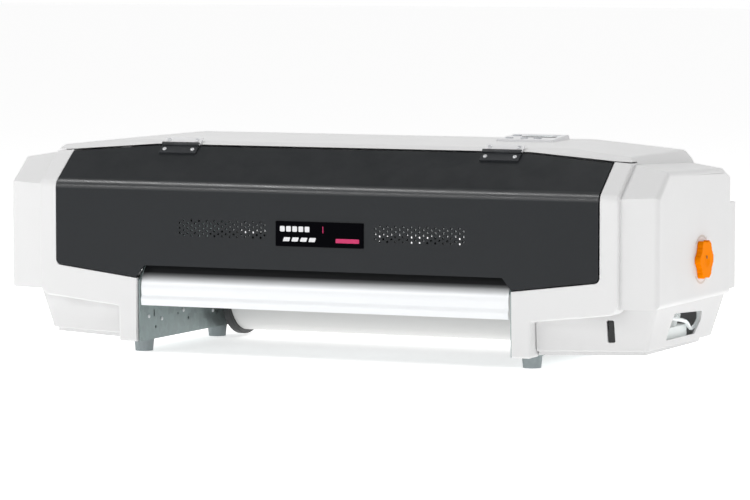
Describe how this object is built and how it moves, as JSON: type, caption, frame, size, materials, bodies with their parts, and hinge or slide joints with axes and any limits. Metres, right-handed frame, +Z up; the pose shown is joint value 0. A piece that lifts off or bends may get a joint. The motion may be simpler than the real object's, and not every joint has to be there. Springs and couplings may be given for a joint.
{
  "type": "tabletop roll-fed inkjet printer",
  "caption": "Tabletop roll-fed inkjet printer with a sheet cutter, hinged front lid, end blocks, lift knob, key panel and a media roll held behind it.",
  "frame": {"origin": "on the floor, midway between the four feet, which is also the centre of the four stand bolt holes", "axes": "+X to the user's right along the print width, +Y from the front to the rear, +Z up"},
  "size_m": [1.178, 0.4549, 0.3667],
  "materials": {
    "white_cover": "fine satin texture",
    "lid_black": "satin",
    "badge": "gloss",
    "hinge_white": "satin",
    "hinge_dark": "satin",
    "screw_steel": "polished",
    "galvanised": "galvanised",
    "rail_aluminium": "anodised",
    "platen_grey": "matte",
    "guide_silver": "satin white silver",
    "shaft_steel": "ground",
    "bush": "matte",
    "arm_black": "matte",
    "spring_steel": "drawn wire",
    "rubber": "matte",
    "foot_grey": "matte",
    "knob_orange": "satin",
    "head_metal": "satin",
    "cutter_metal": "satin",
    "board": "solder mask",
    "clear_tube": "clear",
    "tank": "translucent",
    "window": "gloss",
    "media": "coated paper",
    "ink_cyan": "gloss",
    "ink_magenta": "gloss",
    "ink_yellow": "gloss",
    "ink_black": "gloss",
    "key_grey": "matte"
  },
  "bodies": {
    "frame": {"base_pans": "white_cover", "capping_base": "platen_grey", "carriage_rail": "rail_aluminium", "clear_windows": "window", "drain_tube": "clear_tube", "drive_belt": "rubber", "electronics": "board", "electronics_tray": "galvanised", "end_frames": "galvanised", "feed_bearings": "bush", "feed_belt": "rubber", "front_paper_guide": "guide_silver", "hinge_cover_leaves": "hinge_white", "ink_rack": "platen_grey", "left_cover": "white_cover", "left_rear_housing": "white_cover", "left_skirt": "white_cover", "motors": "head_metal", "panel_housing": "white_cover", "platen": "platen_grey", "rear_cover": "white_cover", "rear_sockets": "arm_black", "right_cover": "white_cover", "right_rear_housing": "white_cover", "right_skirt": "white_cover", "rubber_feet": "foot_grey", "screws_and_pins": "screw_steel", "side_plates": "galvanised", "top_cover": "white_cover", "vacuum_box": "galvanised", "waste_tank": "tank"},
    "lid": {"lid_panel": "lid_black", "lid_badge": "badge", "hinge_lid_leaves": "hinge_dark", "hinge_lid_screws": "screw_steel"},
    "lift_knob": {"lift_knob": "knob_orange", "lift_shaft": "shaft_steel"},
    "pinch_arms": {"pinch_arms": "arm_black", "pinch_springs": "spring_steel"},
    "pinch_rollers": {"pinch_rollers": "rubber"},
    "feed_roller": {"feed_roller": "shaft_steel"},
    "feed_motor_pulley": {"feed_motor_pulley": "rail_aluminium"},
    "drive_pulley": {"drive_pulley": "rail_aluminium"},
    "idler_pulley": {"idler_pulley": "rail_aluminium"},
    "carriage": {"carriage_housing": "arm_black", "print_head": "head_metal", "carriage_slider": "arm_black"},
    "sheet_cutter": {"sheet_cutter": "cutter_metal"},
    "cap_unit": {"cap_unit": "rubber"},
    "media_roll": {"media_roll": "media", "roll_flanges": "arm_black"},
    "power_switch": {"power_switch": "arm_black"},
    "power_button": {"power_button": "key_grey"},
    "menu_button": {"menu_button": "key_grey"},
    "back_button": {"back_button": "key_grey"},
    "feed_button": {"feed_button": "key_grey"},
    "ink_cartridge_1": {"ink_cartridge_1": "ink_cyan"},
    "ink_cartridge_2": {"ink_cartridge_2": "ink_magenta"},
    "ink_cartridge_3": {"ink_cartridge_3": "ink_yellow"},
    "ink_cartridge_4": {"ink_cartridge_4": "ink_black"}
  },
  "joints": [
    {"name": "lid_hinge", "type": "hinge", "parent": "frame", "child": "lid", "pos_m": [0, -0.12209, 0.3492], "axis": [-1, 0, 0], "range_deg": [0, 80]},
    {"name": "lift_knob_turn", "type": "hinge", "parent": "frame", "child": "lift_knob", "pos_m": [0, 0.0233, 0.1718], "axis": [1, 0, 0], "range_deg": [0, 90]},
    {"name": "pinch_lift", "type": "hinge", "parent": "frame", "child": "pinch_arms", "pos_m": [0, 0.047, 0.186], "axis": [-1, 0, 0], "range_deg": [0, 9]},
    {"name": "pinch_spin", "type": "hinge", "parent": "pinch_arms", "child": "pinch_rollers", "pos_m": [0, -0.027, 0.17755], "axis": [1, 0, 0], "continuous": true},
    {"name": "feed_spin", "type": "hinge", "parent": "frame", "child": "feed_roller", "pos_m": [0, -0.027, 0.1604], "axis": [1, 0, 0], "continuous": true},
    {"name": "feed_motor_spin", "type": "hinge", "parent": "frame", "child": "feed_motor_pulley", "pos_m": [0.35, -0.047, 0.106], "axis": [1, 0, 0], "continuous": true},
    {"name": "carriage_travel", "type": "slide", "parent": "frame", "child": "carriage", "axis": [1, 0, 0], "range_m": [-0.83, 0]},
    {"name": "drive_pulley_spin", "type": "hinge", "parent": "frame", "child": "drive_pulley", "pos_m": [-0.549, -0.063, 0.257], "axis": [0, 0, 1], "continuous": true},
    {"name": "idler_pulley_spin", "type": "hinge", "parent": "frame", "child": "idler_pulley", "pos_m": [0.549, -0.063, 0.257], "axis": [0, 0, 1], "continuous": true},
    {"name": "cutter_drop", "type": "slide", "parent": "carriage", "child": "sheet_cutter", "axis": [0, 0, -1], "range_m": [0, 0.006]},
    {"name": "cap_lift", "type": "slide", "parent": "frame", "child": "cap_unit", "axis": [0, 0, -1], "range_m": [0, 0.008]},
    {"name": "media_roll_spin", "type": "hinge", "parent": "frame", "child": "media_roll", "pos_m": [0, 0.168, 0.089], "axis": [1, 0, 0], "continuous": true},
    {"name": "power_switch_rock", "type": "hinge", "parent": "frame", "child": "power_switch", "pos_m": [0.4, 0.204, 0.15], "axis": [1, 0, 0], "range_deg": [-7, 7]},
    {"name": "power_button_press", "type": "slide", "parent": "frame", "child": "power_button", "axis": [0, 0, -1], "range_m": [0, 0.0012]},
    {"name": "menu_button_press", "type": "slide", "parent": "frame", "child": "menu_button", "axis": [0, 0, -1], "range_m": [0, 0.0012]},
    {"name": "back_button_press", "type": "slide", "parent": "frame", "child": "back_button", "axis": [0, 0, -1], "range_m": [0, 0.0012]},
    {"name": "feed_button_press", "type": "slide", "parent": "frame", "child": "feed_button", "axis": [0, 0, -1], "range_m": [0, 0.0012]},
    {"name": "ink_cartridge_1_pull", "type": "slide", "parent": "frame", "child": "ink_cartridge_1", "axis": [0, 1, 0], "range_m": [0, 0.13]},
    {"name": "ink_cartridge_2_pull", "type": "slide", "parent": "frame", "child": "ink_cartridge_2", "axis": [0, 1, 0], "range_m": [0, 0.13]},
    {"name": "ink_cartridge_3_pull", "type": "slide", "parent": "frame", "child": "ink_cartridge_3", "axis": [0, 1, 0], "range_m": [0, 0.13]},
    {"name": "ink_cartridge_4_pull", "type": "slide", "parent": "frame", "child": "ink_cartridge_4", "axis": [0, 1, 0], "range_m": [0, 0.13]}
  ],
  "couplings": [
    {"joint": "pinch_lift", "follows": "lift_knob_turn", "ratio": 0.1},
    {"joint": "pinch_spin", "follows": "feed_spin", "ratio": -1.4286},
    {"joint": "feed_motor_spin", "follows": "feed_spin", "ratio": 2.5714},
    {"joint": "drive_pulley_spin", "follows": "carriage_travel", "rad_per_m": 88.106},
    {"joint": "idler_pulley_spin", "follows": "carriage_travel", "rad_per_m": 88.106}
  ]
}
